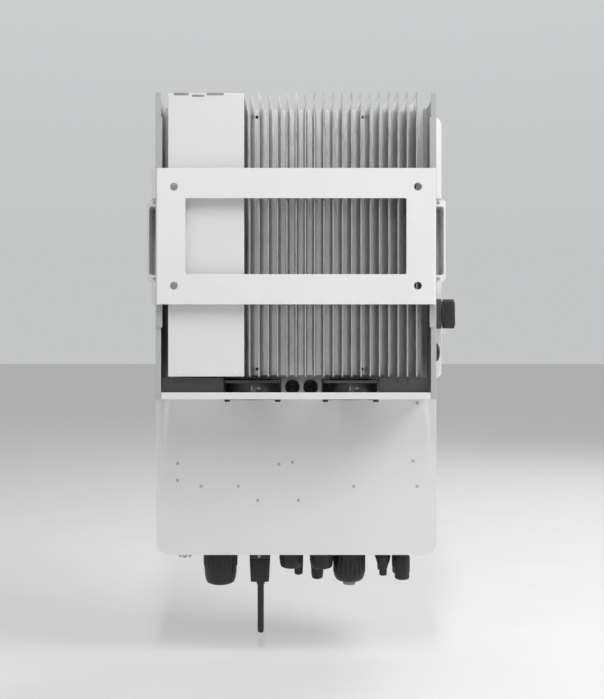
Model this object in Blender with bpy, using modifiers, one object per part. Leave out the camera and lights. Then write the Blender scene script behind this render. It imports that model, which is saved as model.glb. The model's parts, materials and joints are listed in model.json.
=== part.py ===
"""A wall-hung string inverter with a finned heat sink, two cooling fans and a hanging frame.

Frame: metres, +Z up. The wall is the plane y = 0 and the display side looks towards -Y. The origin is
on the hanging frame's wall face, midway between its two upper bolt holes. "left" is -X and "right" is
+X, as someone standing in front of the display sees them.
"""

import math

import bmesh
import bpy
from mathutils import Matrix, Vector

MM = 0.001  # every size below is in millimetres, and the tools scale it by this
GAP = 0.3  # clearance between two pieces that touch
HOLE_PLAY = 0.8  # clearance of a threaded collar in its hole, on the radius

# Driving dimensions
CASE_WIDTH = 420
CASE_TOP = 131
CASE_BOTTOM = -535
CASE_CORNER = 18
SHEET = 2  # casing sheet thickness
THIN_SHEET = 1.5  # bracket, wall and shelf sheet thickness
FRAME_STANDOFF = 14  # wall face of the hanging frame to the fin tips
FIN_DEPTH = 79
SINK_BASE = 10.7
OVERALL_DEPTH = 233  # fin tips to the display's face
COVER_DEPTH = 21
SEAM = -335  # height of the joint between the two front covers

# Planes along Y, from the wall to the front
FRAME_T = 2
REAR = -FRAME_STANDOFF
FIN_FLOOR = REAR - FIN_DEPTH
CASE_REAR = FIN_FLOOR - SINK_BASE - GAP
FASCIA_FRONT = REAR - OVERALL_DEPTH
COVER_FRONT = FASCIA_FRONT + 2
COVER_REAR = COVER_FRONT + COVER_DEPTH
GASKET_T = 1.6
CASE_FRONT = COVER_REAR + GASKET_T + 2 * GAP
HALF = CASE_WIDTH / 2

# Rear section: heat sink, inductor box, side walls, fan shelf
REAR_HALF = 197.5
REAR_TOP = 135
SHELF_BOTTOM = -297.2
LIP = 9.8
WALL_FLANGE = 7.5
FIN_COUNT = 19
FIN_PITCH = 13.05
FIRST_FIN_X = 65
FIN_TIP = 1.8
FIN_ROOT = 6.4
SINK_BOTTOM = -265
SINK_TOP = 130
SINK_LEFT = -186
SINK_RIGHT = 72.4
INDUCTOR_X = (73, 180)
SHELF_HALF = REAR_HALF - WALL_FLANGE - GAP

# Fans
FAN_SIZE = 80
FAN_DEPTH = 25
FAN_BORE = 38.25
FAN_X = {"right": 61.6, "left": -77.3}
FAN_Y = REAR - 3 - FAN_SIZE / 2
FAN_BOTTOM = SHELF_BOTTOM + THIN_SHEET + GAP
BLADES = 7
BLADE_TWIST = Matrix.Rotation(math.radians(36), 4, "X")
GROMMET_X = {"right": 5.9, "left": -21.3}
GROMMET_Z = -282.9
GROMMET_NECK = 7

# Hanging frame and its arms
FRAME_HALF = 195
FRAME_Z = (-164, 26)
FRAME_BAR_SIDE = 41
FRAME_BAR_END = 42
FRAME_FLANGE = 12
BOLT_HALF_X = 170
BOLT_Z = (0.0, -138)
BOLT_RADIUS = 5.5

# Side plates, handles, switch and power button
SIDE_Y = (-212, -142)
SIDE_OUT = 223
LEFT_PLATE_Z = (-270, 131)
CROWN_FOOT = 20
CROWN_RADIUS = 12
RIGHT_PLATE_Z = (-160, 57)
HANDLE_Y = (-206, -147)
HANDLE_Z = (-123, 5)
HANDLE_OUT = 230.5
PAD_Z = (-202, -150)
PAD_STAND = 8.7
SWITCH_Y = -119.4
SWITCH_Z = -173
SWITCH_BASE = 8
SWITCH_SOCKET = (-186, -146)
KNOB_RADIUS = 17.3
KNOB_LENGTH = 44.4
POWER_Y = -123
POWER_Z = -231
POWER_SHANK = 10.7
POWER_BORE = 9.6
POWER_RADIUS = 9.2

# Display fascia and keys, on the upper cover
FASCIA_X = (-116, 116)
FASCIA_Z = (-16, 76)
FASCIA_MID = (FASCIA_Z[0] + FASCIA_Z[1]) / 2
KEY_X = 92
KEY_PITCH = 19
KEY_NAMES = ("key_esc", "key_up", "key_down", "key_enter")
LIGHT_X = -92

# Bottom plate connectors, most of them centred on one of two rows
REAR_ROW = -164
FRONT_ROW = -204
PV_THREAD = 9
PV_FLANGE = 13.3

# x of each column of solar sockets, and its caps' profile below the flange (radius, height)
PV_CAPS = {
    -135: ((12, -13.5), (10.5, -22), (6.6, -33), (6, -44), (0, -44)),
    -164.6: ((12.4, -13.5), (12.4, -45), (9, -50), (0, -50)),
}
LOGGER_X = 57
LOGGER_THREAD = 12

# x, y, thread radius, (flange radius, mouth radius, straight end, nut end), the blanking plug's stand-out
GLANDS = {
    "grid": (118.5, REAR_ROW, 19.5, (26.5, 17, 28, 55), 1),
    "load": (8.5, REAR_ROW, 13, (18.5, 12, 20, 31), 1),
    "generator": (-39, REAR_ROW, 13, (18.5, 12, 21, 32), 1),
    "battery": (-83, REAR_ROW - 15, 18, (25.4, 13, 42, 55.5), 6),
}
# x, thread radius, outer radius and length of the small glands on the front row
SIGNAL_GLANDS = {
    "right": (-3, 5.8, 7.5, 52.5),
    "left": (-33, 7.8, 10.4, 59),
}

WHITE = ((0.80, 0.80, 0.80), 0.45, 0.0)
GREY = ((0.45, 0.45, 0.46), 0.5, 0.0)
ALUMINIUM = ((0.62, 0.62, 0.63), 0.45, 0.6)
STEEL = ((0.55, 0.55, 0.56), 0.35, 0.9)
BLACK = ((0.03, 0.03, 0.032), 0.55, 0.0)
DARK_SHEET = ((0.06, 0.06, 0.062), 0.6, 0.0)
GLOSS = ((0.012, 0.012, 0.014), 0.12, 0.0)
RUBBER = ((0.02, 0.02, 0.02), 0.8, 0.0)
BOARD = ((0.03, 0.16, 0.07), 0.5, 0.0)
CAN = ((0.05, 0.09, 0.2), 0.4, 0.0)
COPPER = ((0.6, 0.27, 0.12), 0.35, 0.9)
LENS = ((0.8, 0.82, 0.8), 0.2, 0.0)

AXIS_TURN = {
    "+X": Matrix.Rotation(math.radians(90), 4, "Y"),
    "-X": Matrix.Rotation(math.radians(-90), 4, "Y"),
    "+Y": Matrix.Rotation(math.radians(-90), 4, "X"),
    "-Y": Matrix.Rotation(math.radians(90), 4, "X"),
    "+Z": Matrix.Identity(4),
    "-Z": Matrix.Rotation(math.radians(180), 4, "X"),
}


# Tools


def start_scene():
    """Empties the scene and makes a collection for the parts and one for the cutters."""
    for obj in list(bpy.data.objects):
        bpy.data.objects.remove(obj)
    for name in ("string_inverter", "cutters"):
        collection = bpy.data.collections.new(name)
        bpy.context.scene.collection.children.link(collection)


def metres(x, y, z):
    return Vector((x, y, z)) * MM


def material(name, finish):
    colour, roughness, metallic = finish
    made = bpy.data.materials.get(name) or bpy.data.materials.new(name)
    made.use_nodes = True
    shader = made.node_tree.nodes["Principled BSDF"]
    shader.inputs["Base Color"].default_value = (*colour, 1.0)
    shader.inputs["Roughness"].default_value = roughness
    shader.inputs["Metallic"].default_value = metallic
    return made


def add_object(name, bm, placing, finish):
    """Adds a mesh drawn in millimetres to the parts, or to the cutters when it has no finish."""
    bmesh.ops.scale(bm, vec=(MM, MM, MM), verts=bm.verts)
    mesh = bpy.data.meshes.new(name)
    bm.to_mesh(mesh)
    bm.free()
    obj = bpy.data.objects.new(name, mesh)
    obj.matrix_world = placing
    if finish is None:
        bpy.data.collections["cutters"].objects.link(obj)
        obj.hide_render = True
        obj.display_type = "WIRE"
    else:
        bpy.data.collections["string_inverter"].objects.link(obj)
        mesh.materials.append(material(name, finish))
    return obj


def box(name, x, y, z, finish=None, round_axis=None, radius=0.0, steps=4, keep=None):
    """A box between pairs of limits. Edges along round_axis are rounded, or those that keep(point) picks."""
    sides = [sorted(pair) for pair in (x, y, z)]
    size = Vector([high - low for low, high in sides])
    centre = Vector([(high + low) / 2 for low, high in sides])
    bm = bmesh.new()
    bmesh.ops.create_cube(bm, size=1.0, matrix=Matrix.Diagonal((*size, 1)))
    if round_axis:
        along = "XYZ".index(round_axis)
        rounded = [
            edge
            for edge in bm.edges
            if abs((edge.verts[0].co - edge.verts[1].co)[along]) > size[along] / 2
            and (keep is None or keep(centre + (edge.verts[0].co + edge.verts[1].co) / 2))
        ]
        bmesh.ops.bevel(bm, geom=rounded, offset=radius, segments=steps, profile=0.5, affect="EDGES")
    return add_object(name, bm, Matrix.Translation(metres(*centre)), finish)


def drum(name, centre, axis, radius, length, finish=None, sides=16):
    """A round bar from centre, running length along axis."""
    bm = bmesh.new()
    lift = Matrix.Translation((0, 0, length / 2))
    bmesh.ops.create_cone(
        bm, cap_ends=True, segments=sides, radius1=radius, radius2=radius, depth=length, matrix=lift
    )
    return add_object(name, bm, Matrix.Translation(metres(*centre)) @ AXIS_TURN[axis], finish)


def turned(name, profile, centre, axis, finish=None, steps=20, ring=False):
    """A turned shape. profile holds (radius, height) from the top down, with height along axis."""
    bm = bmesh.new()
    points = [bm.verts.new((radius, 0, height)) for radius, height in profile]
    for first, second in zip(points, points[1:] + points[:1] if ring else points[1:]):
        bm.edges.new((first, second))
    obj = add_object(name, bm, Matrix.Translation(metres(*centre)) @ AXIS_TURN[axis], finish)
    screw = obj.modifiers.new("turn", "SCREW")
    screw.steps = screw.render_steps = steps
    screw.use_merge_vertices = True
    screw.merge_threshold = 0.00005
    return obj


def outline(name, points, low, high, finish=None):
    """A flat outline in X and Y, extruded from height low to high, as a mesh."""
    curve = bpy.data.curves.new(name + "_outline", "CURVE")
    curve.dimensions = "2D"
    curve.fill_mode = "BOTH"
    curve.extrude = (high - low) / 2
    spline = curve.splines.new("POLY")
    spline.points.add(len(points) - 1)
    for place, (x, y) in zip(spline.points, points):
        place.co = (x, y, 0, 1)
    spline.use_cyclic_u = True
    guide = bpy.data.objects.new(name + "_outline", curve)
    bpy.data.collections["cutters"].objects.link(guide)
    bpy.context.view_layer.update()
    mesh = bpy.data.meshes.new_from_object(guide.evaluated_get(bpy.context.evaluated_depsgraph_get()))
    bpy.data.objects.remove(guide)
    bm = bmesh.new()
    bm.from_mesh(mesh)
    bpy.data.meshes.remove(mesh)
    bmesh.ops.remove_doubles(bm, verts=bm.verts, dist=0.01)
    bmesh.ops.recalc_face_normals(bm, faces=bm.faces)
    return add_object(name, bm, Matrix.Translation(metres(0, 0, (high + low) / 2)), finish)


def boolean(target, tool, operation):
    step = target.modifiers.new(f"{operation.lower()}_{tool.name}", "BOOLEAN")
    step.operation = operation
    step.solver = "EXACT"
    step.object = tool


def cut(target, *tools):
    for tool in tools:
        boolean(target, tool, "DIFFERENCE")


def join(target, *tools):
    for tool in tools:
        boolean(target, tool, "UNION")


# Casing


def bottom_connectors():
    """(x, y, hole radius) of every hole in the bottom plate."""
    holes = [(x, y, thread) for x, y, thread, _, _ in GLANDS.values()]
    holes += [(x, FRONT_ROW, thread) for x, thread, _, _ in SIGNAL_GLANDS.values()]
    holes += [(x, row, PV_THREAD) for x in PV_CAPS for row in (REAR_ROW, FRONT_ROW)]
    holes.append((LOGGER_X, REAR_ROW, LOGGER_THREAD))
    return holes


def make_housing():
    """The rear tray of the casing: back, sides, top and bottom, with a flange round two front openings."""
    x, y, z = (-HALF, HALF), (CASE_FRONT, CASE_REAR), (CASE_BOTTOM, CASE_TOP)
    housing = box("main_housing", x, y, z, WHITE, "Y", CASE_CORNER)
    inside = box(
        "housing_inside",
        (-HALF + SHEET, HALF - SHEET),
        (CASE_FRONT + SHEET, CASE_REAR - SHEET),
        (CASE_BOTTOM + SHEET, CASE_TOP - SHEET),
        None,
        "Y",
        CASE_CORNER - SHEET,
    )
    lip = 14
    mouth_x = (-HALF + lip, HALF - lip)
    mouth_y = (CASE_FRONT - 5, CASE_FRONT + 5)
    upper = box("upper_mouth", mouth_x, mouth_y, (SEAM + lip, CASE_TOP - lip), None, "Y", 6)
    lower = box("lower_mouth", mouth_x, mouth_y, (CASE_BOTTOM + lip, SEAM - lip), None, "Y", 6)
    cut(housing, inside, upper, lower)
    for number, (x, y, radius) in enumerate(bottom_connectors()):
        start = (x, y, CASE_BOTTOM - SHEET)
        cut(housing, drum(f"bottom_hole_{number}", start, "+Z", radius + HOLE_PLAY, 3 * SHEET))
    for side, x in GROMMET_X.items():
        start = (x, CASE_REAR + SHEET, GROMMET_Z)
        cut(housing, drum(f"grommet_hole_{side}", start, "-Y", GROMMET_NECK + GAP, 3 * SHEET))
    coil_window = box(
        "coil_window",
        (INDUCTOR_X[0] + 12, INDUCTOR_X[1] - 12),
        (CASE_REAR - 2 * SHEET, CASE_REAR + 2 * SHEET),
        (SINK_BOTTOM + 30, SINK_TOP - 30),
    )
    shaft_hole = drum("shaft_hole", (-HALF + 2 * SHEET, SWITCH_Y, SWITCH_Z), "-X", 8, 5 * SHEET)
    button_side = (-HALF + 2 * SHEET, POWER_Y, POWER_Z)
    power_hole = drum("power_hole", button_side, "-X", POWER_SHANK + GAP, 5 * SHEET)
    cut(housing, coil_window, shaft_hole, power_hole)


def make_partition():
    """The sheet between the power electronics above and the wiring space below, with a cable pass."""
    partition = box(
        "partition_plate",
        (-HALF + SHEET + GAP, HALF - SHEET - GAP),
        (CASE_FRONT + SHEET + GAP, CASE_REAR - SHEET - GAP),
        (SEAM - SHEET / 2, SEAM + SHEET / 2),
        STEEL,
    )
    cable_pass = box("cable_pass", (-60, 60), (-180, -130), (SEAM - SHEET, SEAM + SHEET), None)
    cut(partition, cable_pass)


def make_cover(name, z, bevel_at):
    """A shallow pan over one front opening."""
    cover = box(
        name, (-HALF, HALF), (COVER_FRONT, COVER_REAR), z, WHITE, "Y", CASE_CORNER, 4, bevel_at
    )
    inside = box(
        name + "_inside",
        (-HALF + SHEET, HALF - SHEET),
        (COVER_FRONT + SHEET, COVER_REAR + SHEET),
        (z[0] + SHEET, z[1] - SHEET),
        None,
        "Y",
        CASE_CORNER - SHEET,
        4,
        bevel_at,
    )
    cut(cover, inside)
    return cover


def make_covers():
    upper = make_cover("front_cover", (SEAM + SHEET / 2, CASE_TOP), lambda point: point.z > 0)
    window = box(
        "display_opening",
        (FASCIA_X[0] + 4, FASCIA_X[1] - 4),
        (COVER_FRONT - SHEET, COVER_FRONT + 2 * SHEET),
        (FASCIA_Z[0] + 4, FASCIA_Z[1] - 4),
    )
    cut(upper, window)
    make_cover("wiring_cover", (CASE_BOTTOM, SEAM - SHEET / 2), lambda point: point.z < SEAM - 50)


def make_gasket(name, z):
    """A flat rubber ring between the casing's front flange and a cover's rim."""
    band = 10
    y = (COVER_REAR + GAP, COVER_REAR + GAP + GASKET_T)
    gasket = box(name, (-HALF + 1, HALF - 1), y, z, RUBBER, "Y", 15)
    inner_x, inner_z = (-HALF + band, HALF - band), (z[0] + band, z[1] - band)
    cut(gasket, box(name + "_hole", inner_x, (y[0] - 1, y[1] + 1), inner_z, None, "Y", 6))


# Rear section


def make_heat_sink():
    """The cast heat sink: a base plate with tapered fins that stand a little above it."""
    base_y = FIN_FLOOR - SINK_BASE
    points = [(SINK_LEFT, base_y), (SINK_RIGHT, base_y), (SINK_RIGHT, FIN_FLOOR)]
    for number in range(FIN_COUNT):
        x = FIRST_FIN_X - number * FIN_PITCH
        points.append((x + FIN_ROOT / 2, FIN_FLOOR))
        points.append((x + FIN_TIP / 2, REAR))
        points.append((x - FIN_TIP / 2, REAR))
        points.append((x - FIN_ROOT / 2, FIN_FLOOR))
    points.append((SINK_LEFT, FIN_FLOOR))
    sink = outline("heat_sink", points, SINK_BOTTOM, REAR_TOP, ALUMINIUM)
    above_base = box(
        "above_base",
        (SINK_LEFT - 1, SINK_RIGHT + 1),
        (FIN_FLOOR, base_y - 1),
        (SINK_TOP, REAR_TOP + 1),
    )
    cut(sink, above_base)
    for number, gap_index in enumerate((0, 12)):
        x = FIRST_FIN_X - (gap_index + 0.5) * FIN_PITCH
        for end, z in (("top", SINK_TOP - 11), ("bottom", SINK_BOTTOM + 9)):
            cut(sink, drum(f"sink_hole_{number}_{end}", (x, FIN_FLOOR + 3, z), "-Y", 2.5, 20, sides=10))


def make_inductor_box():
    """The sheet box beside the fins, open towards the casing, and the coils inside it."""
    depth, height = (FIN_FLOOR - SINK_BASE, REAR), (SINK_BOTTOM, REAR_TOP - 1)
    shell = box("inductor_box", INDUCTOR_X, depth, height, WHITE)
    inside = box(
        "inductor_inside",
        (INDUCTOR_X[0] + THIN_SHEET, INDUCTOR_X[1] - THIN_SHEET),
        (CASE_REAR - SHEET, REAR - THIN_SHEET),
        (SINK_BOTTOM + THIN_SHEET, REAR_TOP - 1 - THIN_SHEET),
    )
    cut(shell, inside)
    middle = (INDUCTOR_X[0] + INDUCTOR_X[1]) / 2
    strap = box("inductor_core", (middle - 12, middle + 12), (-88, -84), (-240, 110), COPPER)
    ring = [(42, 50), (42, 0), (20, 0), (20, 50)]
    for number, z in enumerate((-195, -65, 65)):
        join(strap, turned(f"coil_{number}", ring, (middle, -85, z), "+Y", None, 16, ring=True))


def make_rear_walls():
    """The two folded side walls of the rear section."""
    for side, sign in (("left", -1), ("right", 1)):
        wall = box(
            f"rear_wall_{side}",
            (sign * (REAR_HALF - THIN_SHEET), sign * REAR_HALF),
            (CASE_REAR + GAP, REAR),
            (SHELF_BOTTOM, REAR_TOP),
            GREY,
        )
        inner = sign * (REAR_HALF - WALL_FLANGE)
        rear_fold = box(
            f"rear_fold_{side}", (inner, sign * (REAR_HALF - THIN_SHEET / 2)), (REAR - THIN_SHEET, REAR),
            (SHELF_BOTTOM, REAR_TOP),
        )
        case_fold = box(
            f"case_fold_{side}", (inner, sign * (REAR_HALF - THIN_SHEET / 2)),
            (CASE_REAR + GAP, CASE_REAR + GAP + THIN_SHEET), (SHELF_BOTTOM, REAR_TOP),
        )
        join(wall, rear_fold, case_fold)


def make_fan_shelf():
    """The shelf under the fins, with a raised lip and a round opening under each fan."""
    x = (-SHELF_HALF, SHELF_HALF)
    shelf = box("fan_shelf", x, (CASE_REAR + GAP, REAR), (SHELF_BOTTOM, SHELF_BOTTOM + THIN_SHEET), WHITE)
    lip_z = (SHELF_BOTTOM + THIN_SHEET / 2, SHELF_BOTTOM + LIP)
    lip = box("shelf_lip", x, (REAR - THIN_SHEET, REAR), lip_z)
    join(shelf, lip)
    for side, x in FAN_X.items():
        cut(shelf, drum(f"shelf_hole_{side}", (x, FAN_Y, SHELF_BOTTOM - 1), "+Z", FAN_BORE, 5, sides=28))


def make_baffles():
    """Dark upright sheets that close the space beside the fans."""
    spans = {
        "right": (FAN_X["right"] + FAN_SIZE / 2 + 1, SHELF_HALF - GAP),
        "left": (-SHELF_HALF + GAP, FAN_X["left"] - FAN_SIZE / 2 - 1),
    }
    for side, x in spans.items():
        y = REAR - 10
        upright = box(f"baffle_{side}", x, (y - THIN_SHEET, y), (FAN_BOTTOM, SINK_BOTTOM - 2), DARK_SHEET)
        foot = box(
            f"baffle_foot_{side}", x, (y - 14, y - THIN_SHEET / 2), (FAN_BOTTOM, FAN_BOTTOM + THIN_SHEET)
        )
        join(upright, foot)


def make_fan(side):
    """A square fan frame with its motor seat, and the rotor that turns in it."""
    x = FAN_X[side]
    half = FAN_SIZE / 2
    flange = 4
    square = ((x - half, x + half), (FAN_Y - half, FAN_Y + half))
    frame = box(f"fan_frame_{side}", *square, (FAN_BOTTOM, FAN_BOTTOM + flange), BLACK, "Z", 4, 2)
    fan_top = FAN_BOTTOM + FAN_DEPTH
    top = box(f"fan_top_{side}", *square, (fan_top - flange, fan_top), None, "Z", 4, 2)
    low = (x, FAN_Y, FAN_BOTTOM + 1)
    barrel = drum(f"fan_barrel_{side}", low, "+Z", half - 0.2, FAN_DEPTH - 2, sides=28)
    bore = drum(f"fan_bore_{side}", (x, FAN_Y, FAN_BOTTOM - 1), "+Z", FAN_BORE, FAN_DEPTH + 2, sides=28)
    join(frame, top, barrel)
    cut(frame, bore)
    strut = 1.5
    rib_z = (FAN_BOTTOM, FAN_BOTTOM + 2.5)
    reach = FAN_BORE + 0.8
    rib_x = box(f"fan_rib_x_{side}", (x - reach, x + reach), (FAN_Y - strut, FAN_Y + strut), rib_z)
    rib_y = box(f"fan_rib_y_{side}", (x - strut, x + strut), (FAN_Y - reach, FAN_Y + reach), rib_z)
    seat = drum(f"fan_seat_{side}", (x, FAN_Y, FAN_BOTTOM), "+Z", 17, 3)
    join(frame, rib_x, rib_y, seat)
    make_rotor(side, x)


def make_rotor(side, x):
    hub_low = FAN_BOTTOM + 3.4
    hub = drum(f"fan_rotor_{side}", (x, FAN_Y, hub_low), "+Z", 16, 20, BLACK, sides=20)
    blade_mid = hub_low + 10
    for number in range(BLADES):
        angle = 2 * math.pi * number / BLADES
        blade = box(f"blade_{side}_{number}", (13, 36.5), (-12, 12), (-0.8, 0.8))
        seat = Matrix.Translation(metres(x, FAN_Y, blade_mid)) @ Matrix.Rotation(angle, 4, "Z")
        blade.matrix_world = seat @ BLADE_TWIST @ blade.matrix_world
        join(hub, blade)
    tip_circle = turned(
        f"tip_circle_{side}",
        [(50, 14), (50, -14), (36.8, -14), (36.8, 14)],
        (x, FAN_Y, blade_mid), "+Z", None, 28, ring=True,
    )
    cut(hub, tip_circle)


def make_grommets():
    """Cable grommets in the casing's back, one for each fan's lead."""
    for side, x in GROMMET_X.items():
        profile = [
            (0, 1.2), (2.6, 1.2), (2.6, 3.4), (7, 3.4), (10.9, 2),
            (10.9, 0), (GROMMET_NECK, 0), (GROMMET_NECK, -5), (0, -5),
        ]
        turned(f"grommet_{side}", profile, (x, CASE_REAR + GAP, GROMMET_Z), "+Y", RUBBER, 14)


# Hanging frame


def make_hanging_frame():
    """The wall plate with its window and four bolt holes, folded forward along both sides."""
    frame = box(
        "mounting_frame", (-FRAME_HALF, FRAME_HALF), (-FRAME_FLANGE, 0), FRAME_Z, WHITE, "Z", 2.5, 3,
        lambda point: point.y > -1,
    )
    inside_x = FRAME_HALF - FRAME_T
    past_ends = (FRAME_Z[0] - 1, FRAME_Z[1] + 1)
    inside = box("frame_inside", (-inside_x, inside_x), (-2 * FRAME_FLANGE, -FRAME_T), past_ends)
    window_x = FRAME_HALF - FRAME_BAR_SIDE
    window = box(
        "frame_window", (-window_x, window_x), (-2 * FRAME_T, FRAME_T),
        (FRAME_Z[0] + FRAME_BAR_END, FRAME_Z[1] - FRAME_BAR_END), None, "Y", 1.5, 2,
    )
    cut(frame, inside, window)
    for column, x in enumerate((-BOLT_HALF_X, BOLT_HALF_X)):
        for row, z in enumerate(BOLT_Z):
            cut(frame, drum(f"bolt_hole_{column}{row}", (x, FRAME_T, z), "-Y", BOLT_RADIUS, 3 * FRAME_T))


def make_hanger_arms():
    """Folded arms on the rear walls' flanges: a long strip, and a web screwed inside the frame's fold."""
    strip_y = (REAR + GAP, REAR + GAP + THIN_SHEET)
    web_out = FRAME_HALF - FRAME_T - GAP
    for side, sign in (("left", -1), ("right", 1)):
        outer = sign * (REAR_HALF - GAP)
        arm = box(
            f"hanger_arm_{side}", (sign * 188, outer), strip_y, (-196, 100), GREY, "Y", 5, 3,
            lambda point, sign=sign: point.x * sign > 190,
        )
        web_x = (sign * (web_out - THIN_SHEET), sign * web_out)
        web_y = (strip_y[0] + 1, -FRAME_T - 1)
        web = box(f"arm_web_{side}", web_x, web_y, (FRAME_Z[0] + 4, FRAME_Z[1] - 4))
        join(arm, web)


# Sides


def make_side(side, sign, z):
    """A raised plate on the casing's side with a cup handle let into it. The cup is open to the rear."""
    plate = box(
        f"side_plate_{side}", (sign * (HALF + GAP), sign * SIDE_OUT), SIDE_Y, z, WHITE, "Y", 8, 4,
        lambda point: point.x * sign > HALF + 5,
    )
    notch = box(
        f"handle_notch_{side}",
        (sign * (HALF - 1), sign * (SIDE_OUT + 1)),
        (HANDLE_Y[0] - GAP, SIDE_Y[1] + 5),
        (HANDLE_Z[0] - GAP, HANDLE_Z[1] + GAP),
    )
    cut(plate, notch)
    handle = box(
        f"handle_{side}", (sign * (HALF + GAP), sign * HANDLE_OUT), HANDLE_Y, HANDLE_Z, WHITE, "Y", 7, 4,
        lambda point: point.x * sign > HALF + 5,
    )
    wall = 3
    cup = box(
        f"handle_cup_{side}",
        (sign * (HALF - 5), sign * (HANDLE_OUT - wall)),
        (HANDLE_Y[0] + wall, HANDLE_Y[1] + 5),
        (HANDLE_Z[0] + 11, HANDLE_Z[1] - 11),
        None, "Y", 4, 3, lambda point: point.x * sign > HALF + 5,
    )
    cut(handle, cup)
    return plate


def make_sides():
    """Both side plates with their handles. The left one has a rounder top and a raised pad."""
    left = make_side("left", -1, (LEFT_PLATE_Z[0], LEFT_PLATE_Z[1] - CROWN_RADIUS - 4))
    crown = box(
        "plate_crown", (-HALF - GAP, -SIDE_OUT), SIDE_Y, (CROWN_FOOT, LEFT_PLATE_Z[1]), None, "Y",
        CROWN_RADIUS, 5, lambda point: point.x < -HALF - 5,
    )
    join(left, crown)
    make_side("right", 1, RIGHT_PLATE_Z)
    pad_y = (SIDE_Y[0] + 10, SIDE_Y[1] - 8)
    pad_x = (-SIDE_OUT + 1, -SIDE_OUT - PAD_STAND)
    join(left, box("switch_pad", pad_x, pad_y, PAD_Z, None, "X", 5, 3))


def make_dc_switch():
    """The DC isolator: contact block inside the casing, base outside, and the knob with its shaft."""
    block = box(
        "dc_switch_body", (-HALF + SHEET + GAP, -150), (SWITCH_Y - 14, SWITCH_Y + 13),
        (SWITCH_Z - 24, SWITCH_Z + 24), BLACK, "X", 4, 2,
    )
    cut(block, drum("switch_socket", (-HALF, SWITCH_Y, SWITCH_Z), "+X", 4.6, 30))
    face = -HALF - GAP
    half = KNOB_LENGTH / 2
    base = box(
        "dc_switch_base", (face, face - SWITCH_BASE), (SWITCH_Y - 18, SWITCH_Y + 14),
        (SWITCH_Z - half, SWITCH_Z + half), BLACK, "X", 4, 3,
    )
    cut(base, drum("base_shaft_hole", (face + 1, SWITCH_Y, SWITCH_Z), "-X", 6, 20))
    knob_low = face - SWITCH_BASE - GAP
    dial = [
        (0, 3), (KNOB_RADIUS - 1, 3), (KNOB_RADIUS, 2), (KNOB_RADIUS, 0), (4, 0), (4, -34), (0, -34),
    ]
    knob = turned("dc_switch_knob", dial, (knob_low, SWITCH_Y, SWITCH_Z), "-X", BLACK, 24)
    grip = box(
        "knob_grip", (knob_low - 2, knob_low - 22), (SWITCH_Y - 6, SWITCH_Y + 6),
        (SWITCH_Z - half, SWITCH_Z + half), None, "X", 5, 4,
    )
    join(knob, grip)


def make_power_button():
    """The on and off push button in its bezel, on the casing's left side."""
    bezel = [
        (POWER_BORE, 5.2), (12, 5.2), (13.5, 3.5), (13.5, 0), (POWER_SHANK, 0),
        (POWER_SHANK, -9), (POWER_BORE, -9),
    ]
    centre = (-HALF - GAP, POWER_Y, POWER_Z)
    turned("power_button_bezel", bezel, centre, "-X", BLACK, ring=True)
    button = [(0, 6.5), (8, 6.5), (POWER_RADIUS, 5.5), (POWER_RADIUS, -12), (0, -12)]
    turned("power_button", button, centre, "-X", BLACK)


# Display


def make_display():
    """The gloss fascia on the upper cover, the display and board behind it, the light bar and four keys."""
    fascia_y = (FASCIA_FRONT, COVER_FRONT - GAP)
    fascia = box("display_window", FASCIA_X, fascia_y, FASCIA_Z, GLOSS, "Y", 6)
    slot_z = (FASCIA_MID - 34, FASCIA_MID + 34)
    slot_x, slot_y = (LIGHT_X - 4, LIGHT_X + 4), (FASCIA_FRONT - 1, COVER_FRONT + 1)
    cut(fascia, box("light_slot", slot_x, slot_y, slot_z, None, "Y", 3))
    trim = GAP
    box(
        "status_light_bar",
        (slot_x[0] + trim, slot_x[1] - trim),
        (FASCIA_FRONT - trim, COVER_FRONT + 3),
        (slot_z[0] + trim, slot_z[1] - trim),
        LENS, "Y", 2.7,
    )
    board_front = COVER_FRONT + 9
    box("display_module", (-60, 60), (COVER_FRONT, board_front - GAP), slot_z, DARK_SHEET)
    box(
        "control_board", (FASCIA_X[0] + 6, FASCIA_X[1] - 6), (board_front, board_front + 1.6),
        (FASCIA_Z[0] + 6, FASCIA_Z[1] - 6), BOARD,
    )
    for number, name in enumerate(KEY_NAMES):
        z = FASCIA_MID + (1.5 - number) * KEY_PITCH
        cut(fascia, drum(f"{name}_hole", (KEY_X, FASCIA_FRONT - 1, z), "+Y", 6, 5, sides=12))
        profile = [
            (0, 1.5), (4.8, 1.5), (5.6, 0.8), (5.6, -2.3),
            (7, -2.3), (7, -3.8), (3, -3.8), (3, -8), (0, -8),
        ]
        turned(name, profile, (KEY_X, FASCIA_FRONT, z), "-Y", GREY, 12)


# Electronics and terminals


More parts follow.
